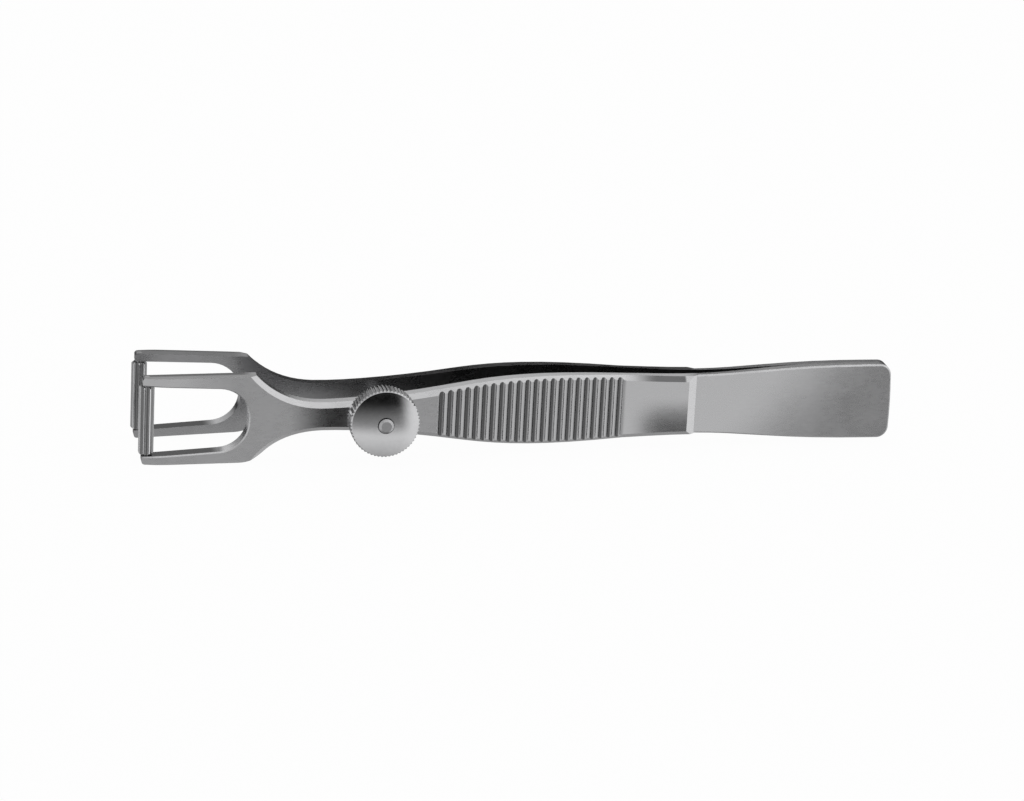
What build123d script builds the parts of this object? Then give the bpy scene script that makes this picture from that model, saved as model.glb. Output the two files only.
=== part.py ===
# Columella forceps: two spring arms welded at the butt, each ending in a two-tined fork that carries
# a fluted crossbar jaw. A threaded post stands in the far arm and passes through the near arm, and a
# knurled nut on it holds the jaws closed.
#
# The forceps lies on the long edges of its arms, as it does on a tray. X runs along it, with the jaws
# at -X and the butt at +X. Y is the direction in which the arms open, with the near arm and the nut at
# -Y. Z is up, and the table is at z = 0. The origin lies under the middle of the whole instrument, so
# the middle plane between the arms stands a little towards +Y of it. Everything is in millimetres.

from math import cos, radians, sin, tan
import os

from build123d import *

os.makedirs("parts", exist_ok=True)

# Overall sizes
overall_length = 120.0
fork_width = 13.7
butt_width = 12.2
arm_spread = 2.95  # degrees between each arm's inner face and the middle plane, at rest

# Arm depths and thicknesses, measured square to the middle plane
fork_thickness = 2.45
tine_end_thickness = 1.8
leaf_foot_thickness = 1.0
butt_thickness = 1.45
pad_depth = 3.15  # from the middle plane to the pad's face

# Lengths along the arm
weld_length = 15.3
fork_length = 17.4
window_length = 16.3
tine_taper_length = 4.2
upper_shoulder_reach = 4.2  # how far the hollow of a shoulder reaches from the fork's corner
lower_shoulder_reach = 3.4
tip_to_nut = 37.4
nut_to_neck = 8.9
nut_to_grip = 8.8
butt_to_pad = 33.5
pad_length = 10.1
step_run = 1.5

# Widths along the arm
neck_width = 4.5
nut_seat_width = 5.5
grip_start_width = 7.6
grip_front_width = 9.8
grip_width = 10.9
leaf_width = 9.6

# Fork window
tine_end_width = 1.22
tine_root_width = 2.06
window_root_flat = 0.2  # straight part between the root's two rounded corners
window_break = 0.2  # edge taken off around the window, on the outer face

# The far fork is ground a little narrower towards its root than the near one
far_top_inset = 0.35
far_bottom_inset = 1.15
far_window_rise = 0.6

# Grip serrations
groove_pitch = 1.357
groove_radius = 0.46
groove_depth = 0.32
first_groove = 0.65  # from the start of the grip to the first groove
last_groove = 0.94  # from the last groove to the pad
grip_bow = 0.3
panel_drop = 0.12
panel_lip = 0.5

# Edges
bevel = 0.75
leaf_bevel = 0.25
tine_corner_radius = 0.45
lower_shoulder_radius = 5.8
butt_corner_radius = 1.8
butt_end_bulge = 0.1
butt_end_lean = 0.3  # how much shorter the upper corner of the butt is than the lower one

# Jaw bars
bar_diameter = 2.4
bar_proud = 0.5  # how far a bar stands out past the tine ends
bar_inset = 0.42  # how far a bar stands out from the tines' inner faces
flute_count = 8
flute_radius = 0.4
flute_depth = 0.34
bar_end_gap = 0.2
bar_end_chamfer = 0.25
near_flute_turn = 0.0  # degrees from straight out of the arm to the nearest flute
far_flute_turn = 17.5
pivot_diameter = 0.8
pivot_clearance = 0.02

# Post and lock nut
post_diameter = 2.3
post_clearance = 0.02
post_tip_chamfer = 0.35
post_head_diameter = 3.6
post_head_rise = 0.2
post_proud = 0.5
arm_hole_clearance = 0.45  # room around the post, which leans in the hole as the arms close
nut_diameter = 10.75
nut_rim_height = 3.3
nut_rim_chamfer = 0.25
nut_hub_diameter = 6.4
nut_hub_height = 0.4
nut_hub_crown_radius = 40.0
nut_dome_rise = 0.85
nut_mouth_chamfer = 0.15
nut_seat_gap = 0.06
thread_clearance = 0.05
knurl_count = 58
knurl_depth = 0.23

# Places that follow from the sizes above
tip_x = -overall_length / 2
butt_x = overall_length / 2
mid_z = fork_width / 2
bar_x = tip_x + bar_diameter / 2
tine_end_x = tip_x + bar_proud
tine_bend_x = tine_end_x + tine_taper_length
fork_corner_x = tine_end_x + fork_length
window_end_x = tine_end_x + window_length
nut_x = tip_x + tip_to_nut
neck_x = nut_x - nut_to_neck
grip_x = nut_x + nut_to_grip
spring_x = butt_x - weld_length  # where the two leaves part
pad_end_x = butt_x - butt_to_pad
pad_start_x = pad_end_x - pad_length
grip_mid_x = (grip_x + pad_start_x) / 2
step_foot_x = pad_end_x + step_run
spread_slope = tan(radians(arm_spread))
along_arm = (cos(radians(arm_spread)), sin(radians(arm_spread)))
room = 30.0  # length of the cutting bodies that run well past the part


def inner_depth(x):
    """Distance of an arm's inner face from the middle plane."""
    return max(0.0, spread_slope * (spring_x - x))


grip_start_depth = inner_depth(grip_x) + fork_thickness
seat_depth = inner_depth(nut_x) + fork_thickness
bar_depth = inner_depth(bar_x) - bar_inset + bar_diameter / 2
window_end_half = fork_width / 2 - tine_end_width
window_root_half = fork_width / 2 - tine_root_width
bar_length = 2 * (window_end_half - bar_end_gap)


def grip_depth(x):
    """Distance of the grip's slightly bowed outer face from the middle plane."""
    share = (x - grip_x) / (pad_start_x - grip_x)
    chord = grip_start_depth + (pad_depth - grip_start_depth) * share
    return chord + 4 * grip_bow * share * (1 - share)


def panel_depth(x):
    """Distance of the sunk grip panel's face from the middle plane."""
    return grip_depth(x) - panel_drop


panel_start_x = grip_x + panel_drop
panel_end_x = pad_start_x - panel_lip
first_groove_x = grip_x + first_groove
groove_room = pad_start_x - last_groove - first_groove_x
groove_count = round(groove_room / groove_pitch) + 1
groove_step = groove_room / (groove_count - 1)

# Post and nut along their axis, as distances from the middle plane
post_head_sink = (post_head_diameter - post_diameter) / 2
crown_rise = nut_hub_diameter**2 / 8 / nut_hub_crown_radius
nut_foot_depth = seat_depth + (nut_hub_crown_radius + nut_seat_gap) / along_arm[0] - nut_hub_crown_radius
rim_back_depth = nut_foot_depth + crown_rise + nut_hub_height
rim_front_depth = rim_back_depth + nut_rim_height
post_end_depth = rim_front_depth + nut_dome_rise + post_proud

# The middle plane between the arms, which leaves the origin under the middle of the whole instrument
far_reach = inner_depth(tine_bend_x) + fork_thickness
middle_y = (post_end_depth - far_reach) / 2
post_foot = (nut_x, middle_y, mid_z)  # where the axis of the post crosses the middle plane

# Front view, from -Y: the flat outline of an arm, written for its upper half
front_view = Plane.XZ.shift_origin((0, 0, mid_z))
half_outline = [
    (neck_x, neck_width / 2),
    (nut_x, nut_seat_width / 2),
    (grip_x, grip_start_width / 2),
    ((grip_x + grip_mid_x) / 2, grip_front_width / 2),
    ((pad_start_x + grip_mid_x) / 2, grip_width / 2),
    (step_foot_x, leaf_width / 2),
    (butt_x - 2 * butt_corner_radius, butt_width / 2),
]


def arm_blank(top_inset, bottom_inset, window_rise):
    """An arm without the holes for the post, as the near arm stands but with the middle plane at Y = 0.

    The side profile between the inner and outer faces is trimmed to the front outline. The insets narrow
    the root of the fork. The grip is left high at first, so that the bevels run along it before its panel
    is cut."""
    with BuildPart() as blank:
        with BuildSketch(Plane.XY):
            with BuildLine():
                inner = Polyline(
                    (butt_x, -butt_thickness),
                    (butt_x, 0),
                    (spring_x, 0),
                    (tine_end_x, -inner_depth(tine_end_x)),
                    (tine_end_x, -inner_depth(tine_end_x) - tine_end_thickness),
                )
                tine_bend = (tine_bend_x, -inner_depth(tine_bend_x) - fork_thickness)
                Spline(inner @ 1, tine_bend, tangents=[(1, -0.3), along_arm])
                neck = Line(tine_bend, (grip_x, -grip_depth(grip_x)))
                ThreePointArc(
                    neck @ 1, (grip_mid_x, -grip_depth(grip_mid_x)), (pad_start_x, -pad_depth)
                )
                Polyline(
                    (pad_start_x, -pad_depth),
                    (pad_end_x, -pad_depth),
                    (step_foot_x, -inner_depth(step_foot_x) - leaf_foot_thickness),
                    (butt_x, -butt_thickness),
                )
            make_face()
        extrude(amount=fork_width)

        with BuildSketch(front_view) as outline:
            with BuildLine():
                fork_edge = Polyline(
                    (fork_corner_x, fork_width / 2 - top_inset),
                    (tine_end_x, fork_width / 2),
                    (tine_end_x, -fork_width / 2),
                    (fork_corner_x, -fork_width / 2 + bottom_inset),
                )
                Bezier(
                    fork_edge @ 0,
                    (fork_corner_x + upper_shoulder_reach, neck_width / 2),
                    (neck_x, neck_width / 2),
                )
                Bezier(
                    fork_edge @ 1,
                    (fork_corner_x + lower_shoulder_reach, -neck_width / 2),
                    (neck_x, -neck_width / 2),
                )
                flank = Spline(half_outline, tangents=[(1, 0), (1, 0)])
                mirror(flank, about=Plane.XZ)
                butt_end = ThreePointArc(
                    (butt_x - butt_end_bulge - butt_end_lean, butt_width / 2),
                    (butt_x, -butt_width / 8),
                    (butt_x - butt_end_bulge, -butt_width / 2),
                )
                Line(flank @ 1, butt_end @ 0)
                Line(butt_end @ 1, (butt_x - 2 * butt_corner_radius, -butt_width / 2))
            make_face()
            butt_corners = outline.vertices().filter_by_position(Axis.X, butt_x - butt_corner_radius, butt_x)
            fillet(butt_corners, butt_corner_radius)
        extrude(amount=room, mode=Mode.INTERSECT)

        # Bevels along the outer face, from the fork's shoulders to the end of the pad
        outer_faces = blank.faces().filter_by(lambda face: face.normal_at().Y < -0.9)
        long_edges = outer_faces.edges().filter_by(Axis.Z, reverse=True)
        chamfer(long_edges.filter_by_position(Axis.X, fork_corner_x, pad_end_x), bevel)

        # The leaf and the rounded butt only have their sharpness taken off
        leaf_face = blank.faces().filter_by(lambda face: face.normal_at().Y < -0.9).sort_by(Axis.X)[-1]
        chamfer(leaf_face.edges().filter_by_position(Axis.X, step_foot_x + 0.1, butt_x), leaf_bevel)

        # Fork window: two tapering walls that run into a rounded root
        with BuildSketch(front_view) as window_outline:
            with BuildLine():
                Polyline(
                    (tine_end_x, window_end_half),
                    (tine_end_x - 1, window_end_half),
                    (tine_end_x - 1, -window_end_half),
                    (tine_end_x, -window_end_half),
                    (window_end_x, -window_root_half + window_rise),
                    (window_end_x, window_root_half + window_rise),
                    close=True,
                )
            make_face()
            fillet(window_outline.vertices().group_by(Axis.X)[-1], window_root_half - window_root_flat / 2)
        extrude(amount=room, mode=Mode.SUBTRACT)
        outer_faces = blank.faces().filter_by(lambda face: face.normal_at().Y < -0.9)
        fork_edges = outer_faces.edges().filter_by_position(Axis.X, tine_end_x + 0.1, window_end_x)
        inner_half = window_end_half + window_break / 2
        chamfer(fork_edges.filter_by_position(Axis.Z, mid_z - inner_half, mid_z + inner_half), window_break)

        # Rounded corners of the fork: the two tine ends and the lower shoulder
        tine_edges = blank.edges().filter_by(Axis.Y).group_by(Axis.X)[0].sort_by(Axis.Z)
        fillet([tine_edges[0], tine_edges[-1]], tine_corner_radius)
        upright_edges = blank.edges().filter_by(Axis.Y)
        shoulder_edges = upright_edges.sort_by(lambda edge: abs(edge.center().X - fork_corner_x))[:2]
        fillet(shoulder_edges.sort_by(Axis.Z)[0], lower_shoulder_radius)

        # Grip panel: a shallow step down across the whole width, filled with round-bottomed grooves
        with BuildSketch(Plane.XY):
            with BuildLine():
                lip = Line((grip_x, -grip_depth(grip_x)), (panel_start_x, -panel_depth(panel_start_x)))
                floor = ThreePointArc(
                    lip @ 1,
                    (grip_mid_x, -panel_depth(grip_mid_x)),
                    (panel_end_x, -panel_depth(panel_end_x)),
                )
                Polyline(
                    floor @ 1,
                    (pad_start_x, -pad_depth),
                    (pad_start_x, -room),
                    (grip_x, -room),
                    lip @ 0,
                )
            make_face()
        extrude(amount=fork_width, mode=Mode.SUBTRACT)
        with BuildSketch(Plane.XY):
            for number in range(groove_count):
                groove_x = first_groove_x + number * groove_step
                with Locations((groove_x, -panel_depth(groove_x) - groove_radius + groove_depth)):
                    Circle(groove_radius)
        extrude(amount=fork_width, mode=Mode.SUBTRACT)

        # Holes through the tine ends for the pivots of the jaw bar
        with BuildSketch(Plane.XY):
            with Locations((bar_x, -bar_depth)):
                Circle(pivot_diameter / 2 + pivot_clearance)
        extrude(amount=fork_width, mode=Mode.SUBTRACT)
    return blank.part


# Near arm: the blank with a hole, drilled square to its faces, that lets the post pass as the arm swings
with BuildPart() as near_arm:
    with Locations((0, middle_y, 0)):
        add(arm_blank(0, 0, 0))
    hole_foot = (nut_x, middle_y - inner_depth(nut_x), mid_z)
    with BuildSketch(Plane(hole_foot, z_dir=(along_arm[1], -along_arm[0], 0))):
        Circle(post_diameter / 2 + arm_hole_clearance)
    extrude(amount=room / 4, both=True, mode=Mode.SUBTRACT)

# Far arm: the mirrored blank with a countersunk seat for the riveted end of the post
with BuildPart() as far_arm:
    with Locations((0, middle_y, 0)):
        add(arm_blank(far_top_inset, far_bottom_inset, far_window_rise).mirror(Plane.XZ))
    head_view = Plane((nut_x, middle_y + seat_depth, mid_z), z_dir=(0, -1, 0))
    with BuildSketch(head_view):
        Circle(post_diameter / 2 + post_clearance)
    extrude(amount=room / 4, mode=Mode.SUBTRACT)
    with BuildSketch(head_view):
        Circle(post_head_diameter / 2 + post_clearance)
    extrude(amount=post_head_sink, taper=45, mode=Mode.SUBTRACT)
    with BuildSketch(head_view):
        Circle(post_head_diameter / 2 + post_clearance)
    extrude(amount=-room / 4, mode=Mode.SUBTRACT)

# Jaw bar: a round rod with eight round flutes, chamfered ends and thin pivots.
# It is drawn about the X, Y origin with one flute toward -Y.
with BuildPart() as bar_blank:
    Cylinder(bar_diameter / 2, bar_length)
    chamfer(bar_blank.edges(), bar_end_chamfer)
    with BuildSketch(Plane.XY.offset(-bar_length / 2)):
        with PolarLocations(bar_diameter / 2 + flute_radius - flute_depth, flute_count, start_angle=-90):
            Circle(flute_radius)
    extrude(amount=bar_length, mode=Mode.SUBTRACT)
    Cylinder(pivot_diameter / 2, fork_width)

with BuildPart() as near_jaw_bar:
    with Locations(Location((bar_x, middle_y - bar_depth, mid_z), (0, 0, near_flute_turn))):
        add(bar_blank.part)

with BuildPart() as far_jaw_bar:
    with Locations(Location((bar_x, middle_y + bar_depth, mid_z), (0, 0, far_flute_turn))):
        add(bar_blank.part)

# Post: a rod with a countersunk domed head, in line with Y
with BuildPart() as screw_post:
    with BuildSketch(Plane(post_foot)):
        with BuildLine():
            crown = ThreePointArc(
                (0, seat_depth + post_head_rise),
                (post_head_diameter / 4, seat_depth + post_head_rise * 0.75),
                (post_head_diameter / 2, seat_depth),
            )
            Polyline(
                crown @ 1,
                (post_diameter / 2, seat_depth - post_head_sink),
                (post_diameter / 2, -post_end_depth + post_tip_chamfer),
                (post_diameter / 2 - post_tip_chamfer, -post_end_depth),
                (0, -post_end_depth),
                crown @ 0,
            )
        make_face()
    revolve(axis=Axis(post_foot, (0, 1, 0)))

# Lock nut: a crowned hub, a rim cut with V-shaped knurls and a shallow polished dome, bored for the post
with BuildPart() as lock_nut:
    with BuildSketch(Plane(post_foot)):
        with BuildLine():
            hub_crown = ThreePointArc(
                (0, -nut_foot_depth),
                (nut_hub_diameter / 4, -nut_foot_depth - crown_rise / 4),
                (nut_hub_diameter / 2, -nut_foot_depth - crown_rise),
            )
            rim = Polyline(
                hub_crown @ 1,
                (nut_hub_diameter / 2, -rim_back_depth),
                (nut_diameter / 2 - nut_rim_chamfer, -rim_back_depth),
                (nut_diameter / 2, -rim_back_depth - nut_rim_chamfer),
                (nut_diameter / 2, -rim_front_depth + nut_rim_chamfer),
                (nut_diameter / 2 - nut_rim_chamfer, -rim_front_depth),
            )
            dome = ThreePointArc(
                rim @ 1,
                (nut_diameter / 4, -rim_front_depth - nut_dome_rise * 0.75),
                (0, -rim_front_depth - nut_dome_rise),
            )
            Line(dome @ 1, hub_crown @ 0)
        make_face()
    revolve(axis=Axis(post_foot, (0, 1, 0)))

    nut_view = Plane(post_foot, z_dir=(0, -1, 0))
    with BuildSketch(nut_view):
        with PolarLocations(nut_diameter / 2, knurl_count):
            RegularPolygon(knurl_depth, 4)
    extrude(amount=room, mode=Mode.SUBTRACT)
    with BuildSketch(nut_view):
        Circle(post_diameter / 2 + thread_clearance)
    extrude(amount=room, mode=Mode.SUBTRACT)
    dome_top = (nut_x, middle_y - rim_front_depth - nut_dome_rise, mid_z)
    with BuildSketch(Plane(dome_top, z_dir=(0, 1, 0))):
        Circle(post_diameter / 2 + thread_clearance + nut_mouth_chamfer)
    extrude(amount=nut_mouth_chamfer, taper=45, mode=Mode.SUBTRACT)

near_arm.part.label = "near_arm"
export_step(near_arm.part, "parts/near_arm.step")
far_arm.part.label = "far_arm"
export_step(far_arm.part, "parts/far_arm.step")
near_jaw_bar.part.label = "near_jaw_bar"
export_step(near_jaw_bar.part, "parts/near_jaw_bar.step")
far_jaw_bar.part.label = "far_jaw_bar"
export_step(far_jaw_bar.part, "parts/far_jaw_bar.step")
screw_post.part.label = "screw_post"
export_step(screw_post.part, "parts/screw_post.step")
lock_nut.part.label = "lock_nut"
export_step(lock_nut.part, "parts/lock_nut.step")
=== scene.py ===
# %% [markdown]
# A columella forceps lies on its long edge on a pale table: two satin steel arms, forked jaws with
# fluted crossbars, and a knurled nut with a polished dome. The solids come from the imported CAD model,
# which stays as it is. This script gives them their metal, adds the finest details and sets up the picture.

# %% Load the solids
import math

import bpy
from mathutils import Matrix, Vector


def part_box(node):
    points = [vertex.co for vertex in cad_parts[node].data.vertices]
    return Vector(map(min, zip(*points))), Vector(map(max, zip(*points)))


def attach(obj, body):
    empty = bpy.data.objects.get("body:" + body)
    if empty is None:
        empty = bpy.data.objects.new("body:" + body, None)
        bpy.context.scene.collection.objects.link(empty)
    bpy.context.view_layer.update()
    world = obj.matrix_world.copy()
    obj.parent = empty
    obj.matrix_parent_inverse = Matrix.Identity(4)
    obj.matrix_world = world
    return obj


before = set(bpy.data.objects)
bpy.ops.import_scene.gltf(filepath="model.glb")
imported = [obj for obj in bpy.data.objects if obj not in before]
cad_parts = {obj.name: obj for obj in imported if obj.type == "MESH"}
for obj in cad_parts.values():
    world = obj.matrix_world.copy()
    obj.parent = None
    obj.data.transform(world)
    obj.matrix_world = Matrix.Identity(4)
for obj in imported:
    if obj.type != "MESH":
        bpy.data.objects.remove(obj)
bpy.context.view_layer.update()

# %% [markdown]
# A few places are needed again and again, so they are set first. The arms mirror each other in a plane
# between them, the middle plane. It is measured from the solids. MID_Z is half the width of the fork, which
# is also the height of the post's axis.

# %% Places on the forceps
MIDDLE_Y = (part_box("near_arm")[0].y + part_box("far_arm")[1].y) / 2
MID_Z = 0.00685
POST_X = -0.0226
BAR_X = -0.0588
BAR_DEPTH = 0.0061136
print("Middle plane at Y, mm:", round(MIDDLE_Y * 1000, 3))

# %% [markdown]
# The camera looks down at the forceps at 18 degrees, from a little left of square to the near arm, with
# a long lens, so the far arm shows above the near one and hardly shrinks. The arms run slightly downhill
# to the right of the picture, so the camera is also turned by about 3 degrees about its own line of sight.

# %% Camera
CAMERA_AZIMUTH = math.radians(-11.6)
CAMERA_ELEVATION = math.radians(18.0)
CAMERA_ROLL = math.radians(2.96)
CAMERA_DISTANCE = 0.600
AIM = Vector((-0.00135, MIDDLE_Y, MID_Z))

sin_a, cos_a = math.sin(CAMERA_AZIMUTH), math.cos(CAMERA_AZIMUTH)
sin_e, cos_e = math.sin(CAMERA_ELEVATION), math.cos(CAMERA_ELEVATION)
right = Vector((cos_a, sin_a, 0))
up = Vector((-sin_a * sin_e, cos_a * sin_e, cos_e))
back = Vector((sin_a * cos_e, -cos_a * cos_e, sin_e))
view_right = math.cos(CAMERA_ROLL) * right + math.sin(CAMERA_ROLL) * up
view_up = math.cos(CAMERA_ROLL) * up - math.sin(CAMERA_ROLL) * right

lens = bpy.data.cameras.new("camera")
lens.sensor_width = 36
lens.lens = 135
lens.shift_x = 0.00199
lens.shift_y = 0.00204
lens.clip_start = 0.01
camera = bpy.data.objects.new("camera", lens)
bpy.context.scene.collection.objects.link(camera)
turned = Matrix((view_right, view_up, back)).transposed().to_4x4()
camera.matrix_world = Matrix.Translation(AIM + CAMERA_DISTANCE * back) @ turned
bpy.context.scene.camera = camera
print("Camera at, mm:", [round(v * 1000, 1) for v in camera.location])

# %% [markdown]
# Shader maths reads best as plain expressions. Wire wraps one output socket and turns + - * into Math
# nodes, so a mask can be written as 1 - mask and a sum as a + b.

# %% Arithmetic on sockets
class Wire:
    """An output socket that can be used in arithmetic."""

    def __init__(self, shop, socket):
        self.shop = shop
        self.socket = socket

    def maths(self, operation, *values, clamp=False):
        node = self.shop.tree.nodes.new("ShaderNodeMath")
        node.operation = operation
        node.use_clamp = clamp
        for slot, value in zip(node.inputs, values):
            self.shop.connect(slot, value)
        return Wire(self.shop, node.outputs[0])

    def __add__(self, other):
        return self.maths("ADD", self, other)

    def __radd__(self, other):
        return self.maths("ADD", other, self)

    def __sub__(self, other):
        return self.maths("SUBTRACT", self, other)

    def __rsub__(self, other):
        return self.maths("SUBTRACT", other, self)

    def __mul__(self, other):
        return self.maths("MULTIPLY", self, other)

    def __rmul__(self, other):
        return self.maths("MULTIPLY", other, self)

    def __abs__(self):
        return self.maths("ABSOLUTE", self)

    def root(self):
        return self.maths("SQRT", self)

    def cosine(self):
        return self.maths("COSINE", self)

    def clamped(self):
        return self.maths("ADD", self, 0.0, clamp=True)


print("Wire turns arithmetic into Math nodes")

# %% [markdown]
# Any other node is made in one call of Shop.node: its type, its settings, and the values or links of its
# inputs. Two kinds of mask are used everywhere. A fade goes from 0 to 1 between two places, and a band
# is 1 along a stretch and fades away at both of its ends.

# %% A shop that makes materials
class Shop:
    """A new material and the means to add nodes to it."""

    def __init__(self, name):
        self.material = bpy.data.materials.new(name)
        self.material.use_nodes = True
        self.tree = self.material.node_tree
        self.tree.nodes.clear()

    def connect(self, slot, value):
        if isinstance(value, Wire):
            self.tree.links.new(value.socket, slot)
        else:
            slot.default_value = value

    def node(self, kind, settings=None, inputs=None, output=0):
        """Adds a node: settings first, such as its operation or its ramp's stops, then its inputs."""
        node = self.tree.nodes.new(kind)
        for key, value in (settings or {}).items():
            if key == "stops":
                ramp = node.color_ramp
                while len(ramp.elements) < len(value):
                    ramp.elements.new(1.0)
                for element, (place, shade) in zip(ramp.elements, value):
                    element.position = place
                    element.color = (shade, shade, shade, 1)
            else:
                setattr(node, key, value)
        for key, value in (inputs or {}).items():
            self.connect(node.inputs[key], value)
        return Wire(self, node.outputs[output])

    def split(self, vector):
        """The x, y and z of a vector, as three wires."""
        node = self.tree.nodes.new("ShaderNodeSeparateXYZ")
        self.connect(node.inputs[0], vector)
        return [Wire(self, socket) for socket in node.outputs]

    def object_place(self):
        return self.node("ShaderNodeTexCoord", output=3)

    def surface_normal(self):
        return self.node("ShaderNodeNewGeometry", output=1)

    def fade(self, value, start, end):
        """0 at start, 1 at end, smooth between and level beyond."""
        limits = {"Value": value, "From Min": start, "From Max": end}
        return self.node("ShaderNodeMapRange", {"interpolation_type": "SMOOTHSTEP"}, limits)

    def band(self, value, stretch):
        """1 within a stretch: its four places are where it rises from and to, and falls from and to."""
        rise_from, rise_to, fall_from, fall_to = stretch
        return self.fade(value, rise_from, rise_to) * (1 - self.fade(value, fall_from, fall_to))

    def finish(self, surface):
        output = self.tree.nodes.new("ShaderNodeOutputMaterial")
        self.connect(output.inputs["Surface"], surface)
        return self.material


print("Shop makes the nodes of a material")

# %% [markdown]
# Stainless instruments are glass-bead or brush finished: the metal is a pale grey, and what the eye
# reads is how sharply it mirrors the studio. Fine scratches run along the piece, and slow cloudy changes
# in roughness keep broad faces from looking like plastic. The colour is mixed from black, so that the
# painted shade from the details of a piece can darken it.

# %% Steel
TONE = 0.90
SCRATCH_DEPTH = 0.00001
CLOUD_SCALE = 180.0


def steel(name, colour, roughness, grain, grain_scale, along=(1.0, 1.0, 1.0), details=None):
    """Stainless steel whose fine scratches are stretched by the scale factors in along.

    details may add to it: it gets the shop and returns a factor for the colour, the base normal and a
    factor for the depth of the scratches."""
    shop = Shop(name)
    place = shop.object_place()
    stretched = shop.node(
        "ShaderNodeMapping", {"vector_type": "POINT"}, {"Vector": place, "Scale": along}
    )
    scratches = shop.node(
        "ShaderNodeTexNoise",
        inputs={"Vector": stretched, "Scale": grain_scale, "Detail": 3.0, "Roughness": 0.6},
    )
    clouds = shop.node(
        "ShaderNodeTexNoise",
        inputs={"Vector": place, "Scale": CLOUD_SCALE, "Detail": 2.0, "Roughness": 0.5},
    )
    rough = roughness + (scratches - 0.5) * 0.10 + (clouds - 0.5) * 0.12
    tone = TONE + (scratches - 0.5) * 0.14 + (clouds - 0.5) * 0.14
    bump_inputs = {"Strength": grain, "Distance": SCRATCH_DEPTH, "Height": scratches}
    if details:
        # details give painted shade, as a factor that darkens the colour.
        factor, normal, scratch_factor = details(shop)
        tone = tone * factor
        bump_inputs["Normal"] = normal
        bump_inputs["Height"] = scratches * scratch_factor
    shade = shop.node(
        "ShaderNodeMix",
        {"data_type": "RGBA"},
        {0: tone.clamped(), 6: (0.0, 0.0, 0.0, 1.0), 7: colour + (1.0,)},
        output=2,
    )
    bump = shop.node("ShaderNodeBump", inputs=bump_inputs)
    surface = shop.node(
        "ShaderNodeBsdfPrincipled",
        inputs={"Base Color": shade, "Metallic": 1.0, "Roughness": rough.clamped(), "Normal": bump},
    )
    return shop.finish(surface)


print("Steel keeps", TONE, "of its colour before its scratches")

# %% [markdown]
# A small change in the way a steel face looks moves what it mirrors, from the bright part of the studio to
# the dark part. So the solid stays as it is, and only the normal of its outer face is rolled. Each stretch
# of the arm has its own roll: the neck's goes up a lot, by about 16 degrees, those of the upper tine, the
# grip and most of the pad go down a little, and the leaf's goes from down to up toward its end. The amounts
# were chosen by comparing renders with the photograph. They are not measured, and the real arm may well be
# flatter.

# %% Roll of the outer face
NECK = (-0.0375, -0.0290, -0.0215, -0.0175)
GRIP = (-0.0139, -0.0137, 0.0158, 0.0160)
PAD = (0.0160, 0.0165, 0.0265, 0.0268)
TINE_ROLL = -0.06
NECK_ROLL = 0.28
GRIP_ROLL = -0.075
PAD_ROLL = -0.085
PAD_CORNER_ROLL = 0.22
LEAF_ROLL = -0.090
LEAF_END_ROLL = 0.140


def face_roll(shop, x, z):
    """What is added to the z part of the outer face's normal: above 0 rolls it up, below 0 down."""
    tine = (1 - shop.fade(x, -0.056, -0.044)) * shop.fade(z, 0.0080, 0.0110) * TINE_ROLL
    neck = shop.band(x, NECK) * NECK_ROLL
    grip = shop.band(x, GRIP) * GRIP_ROLL
    lower_corner = shop.fade(z, 0.0088, 0.0030) * shop.fade(x, 0.0165, 0.0235)
    pad = shop.band(x, PAD) * (lower_corner * PAD_CORNER_ROLL + PAD_ROLL)
    toward_end = shop.fade(x + (MID_Z - z) * 0.9, 0.034, 0.056)
    leaf = shop.fade(x, 0.0275, 0.0282) * (toward_end * LEAF_END_ROLL + LEAF_ROLL)
    return tine + neck + grip + pad + leaf


print("Stretches of the arm with a roll, mm:", [[v * 1000 for v in s] for s in (NECK, GRIP, PAD)])

# %% [markdown]
# The normals of other faces are tilted in the same way, by 7 to 24 degrees, and again the solid stays as
# it is. Those of the long edges behind the fork lean outward. Those of the round ends of the fork windows
# lean toward the side that the camera looks from, and most of them roll down, on both arms alike. Those of
# the neck turn a little toward the jaws, and so do those of the step between the pad and the leaf. Masks
# for all of them come from the place on the arm and from the way the face looks.

# %% Lean of the other faces
BEHIND_FORK = (-0.044, -0.036, 0.026, 0.029)
NECK_BEND = (-0.0330, -0.0280, -0.0215, -0.0175)
STEP = (0.0255, 0.0262, 0.0278, 0.0282)
EDGE_LEAN = 0.12
BOWL_LEAN = -0.30
BOWL_ROLL = -0.32
NECK_TURN = -0.14
STEP_TURN = -0.20


class ArmMasks:
    """The places and faces of an arm whose outer face looks along Y: -1 near, 1 far."""

    def __init__(self, shop, outward):
        self.outward = outward
        self.x, self.y, self.z = shop.split(shop.object_place())
        self.normal = shop.surface_normal()
        self.normal_x, self.normal_y, self.normal_z = shop.split(self.normal)
        self.outside = shop.fade(self.normal_y * outward, 0.80, 0.95)
        self.upright = shop.fade(abs(self.normal_z), 0.80, 0.95)
        past_root = 1 - shop.fade(self.x, -0.0433, -0.0430)
        self.in_window = past_root * (1 - shop.fade(abs(self.z - MID_Z), 0.0059, 0.0061))
        self.wall = self.in_window * (1 - shop.fade(abs(self.normal_y), 0.45, 0.60))
        self.bowl = self.wall * shop.fade(self.x, -0.0490, -0.0465)
        self.step = shop.fade(self.normal_x, 0.08, 0.18) * shop.band(self.x, STEP)


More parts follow.
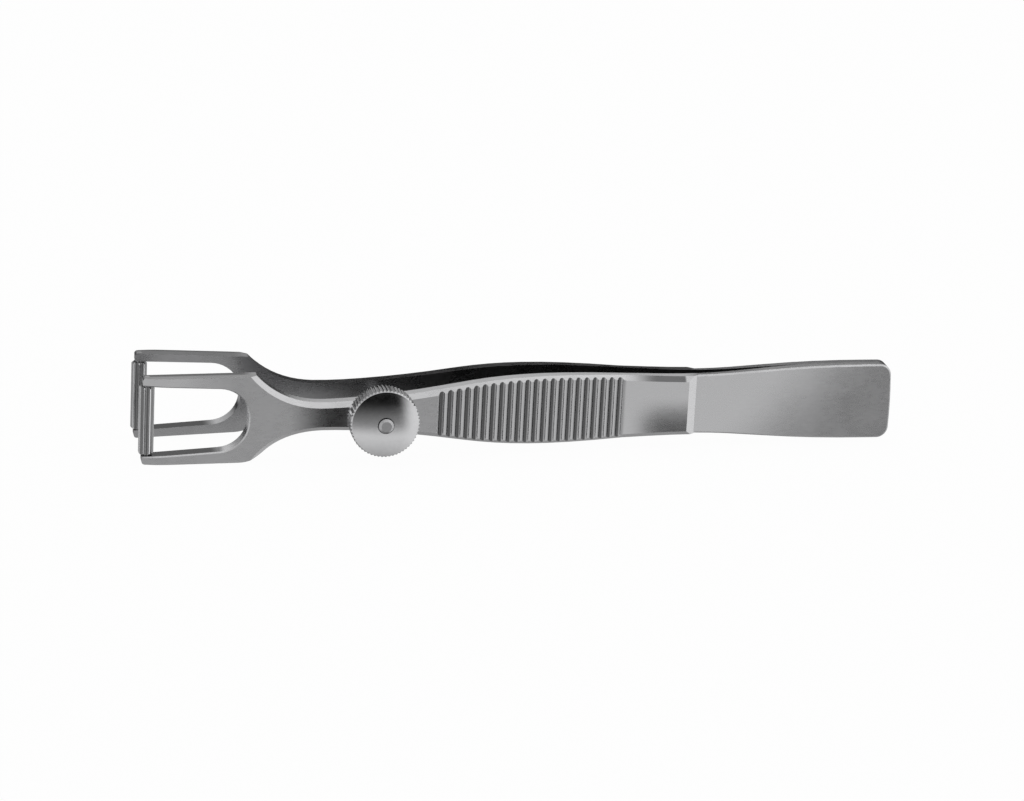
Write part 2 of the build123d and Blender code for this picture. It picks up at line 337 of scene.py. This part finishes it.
def leaned_normal(shop, arm):
    """The normal of an arm's faces with their turn, lean and roll added."""
    turn = arm.outside * shop.band(arm.x, NECK_BEND) * NECK_TURN + arm.step * STEP_TURN
    lean = arm.upright * shop.band(arm.x, BEHIND_FORK) * (EDGE_LEAN * arm.outward) + arm.bowl * BOWL_LEAN
    upright_bowl = arm.bowl * (1 - shop.fade(arm.normal_z, 0.10, 0.50))
    roll = arm.outside * face_roll(shop, arm.x, arm.z) + upright_bowl * BOWL_ROLL
    tilt = shop.node("ShaderNodeCombineXYZ", inputs={0: turn, 1: lean, 2: roll})
    total = shop.node("ShaderNodeVectorMath", {"operation": "ADD"}, {0: arm.normal, 1: tilt})
    return shop.node("ShaderNodeVectorMath", {"operation": "NORMALIZE"}, {0: total})


edge_lean = round(math.degrees(math.atan(EDGE_LEAN)), 1)
print("Normals of the edges behind the fork lean by, degrees:", edge_lean)

# %% [markdown]
# Some places get painted shade in their colour: the grooves of the grip, the straight walls of the windows,
# the inner faces behind the fork, the upper bevel of the pad, and the top and bottom of the fork, most of
# all along the edge that lies away from the camera. The grooves are found with a cosine along the arm,
# because they repeat at a fixed step. The painted shade was chosen to match the shade in the photograph,
# and says nothing of the real metal. It is fixed to the arm, so it stays where it is in every other view.

# %% Painted shade on the arms
# Amounts of painted shade: the part of the colour that each place loses.
GROOVE_STEP = 0.00135714
FIRST_GROOVE = -0.01325
PAD_BEVEL = (0.0163, 0.0215, 0.0258, 0.0262)
GROOVE_PAINTED_SHADE = 0.82
WALL_PAINTED_SHADE = 0.75
INSIDE_PAINTED_SHADE = 0.58
TINE_EDGE_PAINTED_SHADE = 0.60
PAD_BEVEL_PAINTED_SHADE = 0.72
FORK_X = -0.0431
FORK_DEPTH = 0.006973
FORK_SPLAY = 0.0497


# The grooves get painted shade: their colour is darkened where shade falls in them.
def groove_shade_mask(shop, arm):
    wave = ((arm.x - FIRST_GROOVE) * (2 * math.pi / GROOVE_STEP)).cosine()
    level = 1 - shop.fade(abs(arm.normal_z), 0.3, 0.5)
    fluted = shop.fade(arm.normal_y * arm.outward, 0.20, 0.35) * level
    return shop.fade(wave, -0.85, 0.70) * shop.band(arm.x, GRIP) * fluted


def tine_edge_shade_mask(shop, arm):
    """Painted shade: a dark line on the top and bottom of a tine, along its edge away from the viewer."""
    from_middle = (arm.y - MIDDLE_Y) * arm.outward
    below_face = FORK_DEPTH - (arm.x - FORK_X) * FORK_SPLAY - from_middle
    tine_top = arm.upright * (1 - arm.in_window) * (1 - shop.fade(arm.x, -0.0445, -0.0425))
    if arm.outward < 0:
        return tine_top * shop.fade(below_face, 0.0010, 0.0018)
    return tine_top * (1 - shop.fade(below_face, 0.0003, 0.0009) * 0.5)


def arm_details(outward):
    def details(shop):
        arm = ArmMasks(shop, outward)
        bevel = shop.band(arm.normal_z, (0.35, 0.50, 0.85, 0.93))
        inside = shop.fade(arm.normal_y * -outward, 0.80, 0.95) * shop.fade(arm.x, -0.046, -0.020)
        # This colour factor is painted shade: grooves, window walls, inner faces, tine edges and pad bevel.
        painted_shade_factor = (
            (1 - groove_shade_mask(shop, arm) * GROOVE_PAINTED_SHADE)
            * (1 - (arm.wall - arm.bowl) * WALL_PAINTED_SHADE)
            * (1 - inside * INSIDE_PAINTED_SHADE)
            * (1 - tine_edge_shade_mask(shop, arm) * TINE_EDGE_PAINTED_SHADE)
            * (1 - bevel * shop.band(arm.x, PAD_BEVEL) * PAD_BEVEL_PAINTED_SHADE)
        )
        return painted_shade_factor, leaned_normal(shop, arm), 1 - arm.step * 0.85

    return details


print("Grooves every, mm:", round(GROOVE_STEP * 1000, 3))

# %% [markdown]
# Each jaw bar is a rod with eight flutes. The bottom of a flute looks dark in the photograph, and the
# crests between them look bright, so the bottoms get painted shade in their colour, and its mask is the
# distance from the bar's own axis. The ends of the rod are turned down to a pivot, and the mask leaves
# those bright.

# %% Painted shade in the flutes of the bars
FLUTE = (0.00065, 0.00075, 0.00088, 0.00117)
# Painted shade in the flutes: the part of the colour that they lose.
FLUTE_PAINTED_SHADE = 0.70


def bar_details(axis_x, axis_y):
    def details(shop):
        x, y, z = shop.split(shop.object_place())
        across = x - axis_x
        away = y - axis_y
        radius = (across * across + away * away).root()
        # The colour factor is painted shade in the bottoms of the flutes.
        return 1 - shop.band(radius, FLUTE) * FLUTE_PAINTED_SHADE, shop.surface_normal(), 1.0

    return details


print("Flutes are dark between, mm:", FLUTE[0] * 1000, FLUTE[3] * 1000)

# %% [markdown]
# Now each solid gets its metal. The two arms and the two bars have their own, because a mask needs the
# side of its arm or the axis of its bar. The real ones are most likely the same steel. The far ones are
# still given a darker colour here, as painted shade, to match how dark they look in the photograph.
# Scratches run along the arms and along the bars, and the nut has the smoothest steel, since its dome
# looks polished.

# %% Finishes of the solids
ALONG_X = (0.35, 1.0, 1.0)
ALONG_Z = (1.0, 1.0, 0.15)
NEAR_BAR_Y = MIDDLE_Y - BAR_DEPTH
FAR_BAR_Y = MIDDLE_Y + BAR_DEPTH
POST_STEEL = steel("post_steel", (0.58, 0.58, 0.59), 0.30, 0.20, 1500.0)
FINISHES = {
    "near_arm": steel(
        "near_arm_satin_steel", (0.72, 0.72, 0.73), 0.28, 0.12, 2600.0, ALONG_X, arm_details(-1)
    ),
    # The far arm's darker colour is painted shade on the same steel as the near arm.
    "far_arm": steel(
        "far_arm_satin_steel_painted_shade", (0.60, 0.60, 0.61), 0.28, 0.12, 2600.0, ALONG_X, arm_details(1)
    ),
    "near_jaw_bar": steel(
        "near_bar_steel", (0.84, 0.84, 0.85), 0.24, 0.15, 1200.0, ALONG_Z, bar_details(BAR_X, NEAR_BAR_Y)
    ),
    # The far bar's darker colour is painted shade on the same steel as the near bar.
    "far_jaw_bar": steel(
        "far_bar_steel_painted_shade", (0.76, 0.76, 0.77), 0.24, 0.15, 1200.0, ALONG_Z, bar_details(BAR_X, FAR_BAR_Y)
    ),
    "screw_post": POST_STEEL,
    "lock_nut": steel("nut_polished_steel", (0.72, 0.72, 0.73), 0.18, 0.10, 1500.0),
}
for node_name, finish in FINISHES.items():
    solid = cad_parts[node_name]
    solid.data.materials.clear()
    solid.data.materials.append(finish)
print("Finished nodes:", sorted(FINISHES))

# %% [markdown]
# The post carries a fine thread all the way from the far arm to its tip. The nut hides the real one, so
# its pitch and its reach are guesses. Its ridge is one small triangle, which starts as a circle of three
# corners. It is stood upright, flattened to the slope of a thread, and moved out until its point lies just
# inside the bore of the nut.

# %% Ridge of the thread
THREAD_CREST = 0.00119
THREAD_START_Y = MIDDLE_Y + 0.00325
RIDGE_RADIUS = 0.00018
bpy.ops.object.select_all(action="DESELECT")
bpy.ops.mesh.primitive_circle_add(vertices=3, radius=RIDGE_RADIUS)
thread = bpy.context.object
thread.name = "post_thread"
bpy.ops.object.mode_set(mode="EDIT")
bpy.ops.mesh.select_all(action="SELECT")
bpy.ops.transform.rotate(value=math.pi / 2, orient_axis="X", center_override=(0, 0, 0))
bpy.ops.transform.rotate(value=math.pi / 2, orient_axis="Y", center_override=(0, 0, 0))
bpy.ops.transform.resize(value=(0.5, 1, 1), center_override=(0, 0, 0))
bpy.ops.object.mode_set(mode="OBJECT")
crest = max(vertex.co.x for vertex in thread.data.vertices)
bpy.ops.object.mode_set(mode="EDIT")
bpy.ops.transform.translate(value=(THREAD_CREST - crest, 0, 0))
bpy.ops.object.mode_set(mode="OBJECT")
corners = [[round(v * 1000, 3) for v in vertex.co] for vertex in thread.data.vertices]
print("Triangle, mm:", corners)

# %% [markdown]
# A screw modifier sweeps the triangle round the axis, one pitch for each turn. The ridge is then stood on
# the axis of the post, its two open ends are filled, and its faces are turned outward. It belongs to the
# post, so it rides with the far half.

# %% Sweep of the thread
THREAD_PITCH = 0.0005
THREAD_TURNS = 28
THREAD_STEPS = 28
sweep = thread.modifiers.new("sweep", "SCREW")
sweep.axis = "Z"
sweep.screw_offset = THREAD_PITCH
sweep.iterations = THREAD_TURNS
sweep.steps = THREAD_STEPS
sweep.render_steps = THREAD_STEPS
sweep.use_smooth_shade = False
bpy.ops.object.modifier_apply(modifier="sweep")
thread.location = (POST_X, THREAD_START_Y, MID_Z)
thread.rotation_euler = (math.pi / 2, 0, 0)
bpy.ops.object.transform_apply(location=True, rotation=True, scale=True)
bpy.ops.object.mode_set(mode="EDIT")
bpy.ops.mesh.select_all(action="SELECT")
bpy.ops.mesh.fill_holes(sides=3)
bpy.ops.mesh.normals_make_consistent(inside=False)
bpy.ops.object.mode_set(mode="OBJECT")
thread.data.materials.append(POST_STEEL)
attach(thread, "far_half")
reach = [
    [round(end(vertex.co[i] for vertex in thread.data.vertices) * 1000, 2) for i in range(3)]
    for end in (min, max)
]
print("Thread box, mm:", reach, "faces:", len(thread.data.polygons))

# %% [markdown]
# The table is a plain pale sheet. The camera sees it as white, and what it keeps is the soft contact
# shadow under the forceps. Mirror rays pass through it to the lower half of the light tent. A real pale
# table would be mirrored by the faces that look down. The greys of the tent were chosen in its place, to
# match how those faces look in the photograph.

# %% Table
TABLE_WHITENESS = 0.97
bpy.ops.object.select_all(action="DESELECT")
bpy.ops.mesh.primitive_plane_add(size=3.0, location=(0, 0, 0))
table = bpy.context.object
table.name = "table"
shop = Shop("table_white")
seen = shop.node("ShaderNodeLightPath", output=0)
mirrored = shop.node("ShaderNodeLightPath", output=3)
matt = shop.node("ShaderNodeBsdfDiffuse", inputs={"Color": (0.80, 0.80, 0.80, 1)})
glow = shop.node("ShaderNodeEmission", inputs={"Color": (1, 1, 1, 1), "Strength": 1.0})
clear = shop.node("ShaderNodeBsdfTransparent")
sheet = shop.node("ShaderNodeMixShader", inputs={0: seen * TABLE_WHITENESS, 1: matt, 2: glow})
surface = shop.node("ShaderNodeMixShader", inputs={0: mirrored, 1: sheet, 2: clear})
table.data.materials.append(shop.finish(surface))
print("Table size, m:", [round(v, 2) for v in table.dimensions])

# %% [markdown]
# One large soft lamp hangs above and behind the forceps. It gives the table its faint shadow and leaves
# the shape of the steel to what it mirrors.

# %% Lamp
overhead = bpy.data.lights.new("overhead", "AREA")
overhead.shape = "RECTANGLE"
overhead.size = 1.2
overhead.size_y = 0.8
overhead.energy = 2.0
lamp = bpy.data.objects.new("overhead", overhead)
bpy.context.scene.collection.objects.link(lamp)
lamp.location = (0, 0.15, 0.9)
lamp.rotation_euler = (-lamp.location).to_track_quat("-Z", "Y").to_euler()
print("Lamp power, W:", overhead.energy)

# %% [markdown]
# A narrow black card stands close behind the far arm, as a photographer's flag does. Only mirror rays see
# it, and it keeps the inner side of that arm dark against the bright edge of the near one.

# %% Black card
bpy.ops.object.select_all(action="DESELECT")
bpy.ops.mesh.primitive_plane_add(
    size=1.0, location=(0.016, MIDDLE_Y + 0.016, 0.0150), rotation=(math.pi / 2, 0, 0)
)
flag = bpy.context.object
flag.name = "flag"
flag.scale = (0.100, 0.007, 1)
flag.visible_camera = False
flag.visible_shadow = False
flag.visible_diffuse = False
shop = Shop("flag_black")
flag.data.materials.append(
    shop.finish(shop.node("ShaderNodeBsdfDiffuse", inputs={"Color": (0, 0, 0, 1)}))
)
print("Card at, mm:", [round(v * 1000, 1) for v in flag.location])

# %% [markdown]
# The studio itself is a light tent, and it is written as the brightness of each direction. The two lists
# run from straight down (0) through eye level (0.5) to straight up (1). In front, the tent is bright
# low down and falls to black above eye level. Behind, it is dark only near eye level. Steel shows its
# shape by such changes. The levels were chosen by comparing renders with the photograph.

# %% Brightness of the tent
FRONT = [
    (0.00, 0.34), (0.05, 0.34), (0.11, 0.60), (0.25, 0.88), (0.345, 0.33), (0.45, 0.17),
    (0.52, 0.05), (0.58, 0.00), (0.70, 0.00), (0.78, 0.30), (0.86, 0.58), (1.00, 0.66),
]
BEHIND = [
    (0.00, 0.34), (0.11, 0.50), (0.25, 0.55), (0.345, 0.33), (0.43, 0.10),
    (0.48, 0.02), (0.56, 0.02), (0.66, 0.40), (0.76, 0.62), (1.00, 0.66),
]
RIGHT_WALL = 0.95
LEFT_WALL = 0.72
print("Stops in front and behind:", len(FRONT), len(BEHIND))

# %% [markdown]
# The world gets the same helpers as a material, so the tent is one more expression. The front and the
# back blend into each other by how far a direction points to the rear, and a bright wall at the right and
# a fainter one at the left take their share of what is not the back.

# %% Light tent
class Sky(Shop):
    """The world's node tree, with the same helpers as a material."""

    def __init__(self, name):
        self.world = bpy.data.worlds.new(name)
        self.world.use_nodes = True
        self.tree = self.world.node_tree
        self.tree.nodes.clear()

    def finish(self, surface):
        output = self.tree.nodes.new("ShaderNodeOutputWorld")
        self.connect(output.inputs["Surface"], surface)
        return self.world


tent = Sky("light_tent")
direction = tent.node("ShaderNodeTexCoord", output=0)
toward_x, toward_y, toward_z = tent.split(direction)
height = toward_z * 0.5 + 0.5
front = tent.node("ShaderNodeValToRGB", {"stops": FRONT}, {0: height})
behind = tent.node("ShaderNodeValToRGB", {"stops": BEHIND}, {0: height})
back_share = tent.fade(toward_y, 0.05, 0.45)
right_share = tent.fade(toward_x, 0.40, 0.66) * (1 - back_share)
left_share = tent.fade(toward_x * -1.0, 0.55, 0.85) * (1 - back_share)
front_share = 1 - back_share - right_share - left_share
light = front * front_share + back_share * behind + right_share * RIGHT_WALL + left_share * LEFT_WALL
glowing = tent.node("ShaderNodeBackground", inputs={"Color": (1, 1, 1, 1), "Strength": light})
bpy.context.scene.world = tent.finish(glowing)
bpy.context.scene.view_settings.view_transform = "Standard"
print("Nodes in the tent:", len(tent.tree.nodes))
